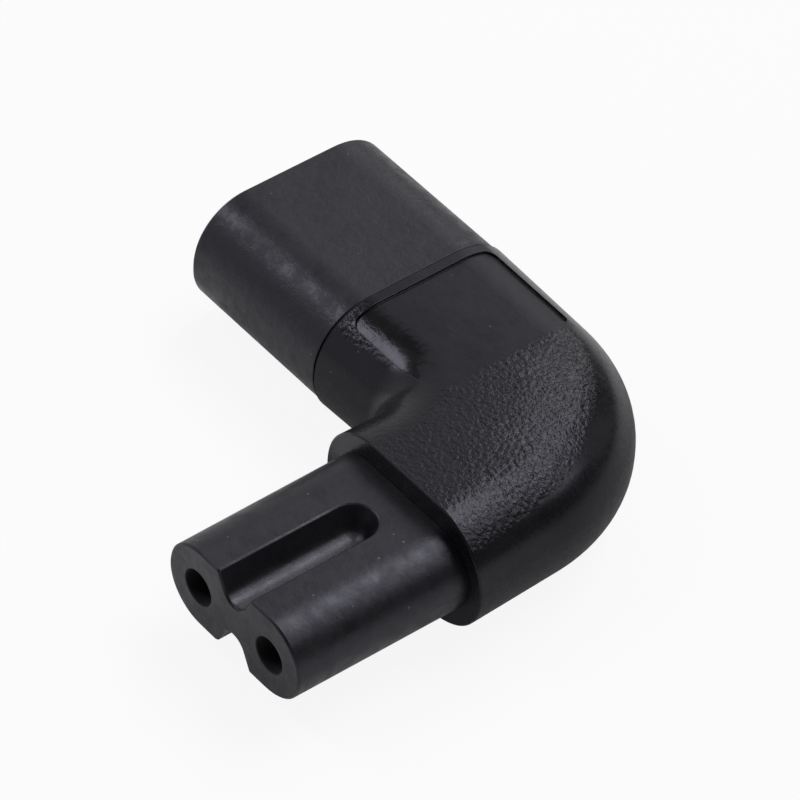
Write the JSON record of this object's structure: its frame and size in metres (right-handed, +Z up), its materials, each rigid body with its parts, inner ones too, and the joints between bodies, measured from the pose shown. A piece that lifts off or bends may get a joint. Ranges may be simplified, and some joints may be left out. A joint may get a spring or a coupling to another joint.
{
  "type": "figure eight power connector",
  "caption": "Right-angle mains adapter: a figure-eight connector nose on one arm and the matching pin inlet on the other, joined by a moulded elbow.",
  "frame": {"origin": "middle of the bounding box, on the plane of the elbow's underside", "axes": "+Z up, the connector nose points along -Y and the inlet along -X"},
  "size_m": [0.0422, 0.0402, 0.0115],
  "materials": {
    "overmould": "black soft PVC, spark-eroded grain",
    "nose_plastic": "black hard plastic, fine satin",
    "shell_plastic": "black hard plastic, smooth matte",
    "pin_metal": "nickel-plated brass, turned",
    "sleeve_metal": "plain rolled brass",
    "link_metal": "brass strip, stamped"
  },
  "bodies": {
    "root": {"elbow_overmould": "overmould", "connector_nose": "nose_plastic", "inlet_shell": "shell_plastic", "inlet_pin_outer": "pin_metal", "inlet_pin_inner": "pin_metal", "contact_sleeve_outer": "sleeve_metal", "contact_sleeve_inner": "sleeve_metal", "link_strip_outer": "link_metal", "link_strip_inner": "link_metal"}
  },
  "joints": []
}
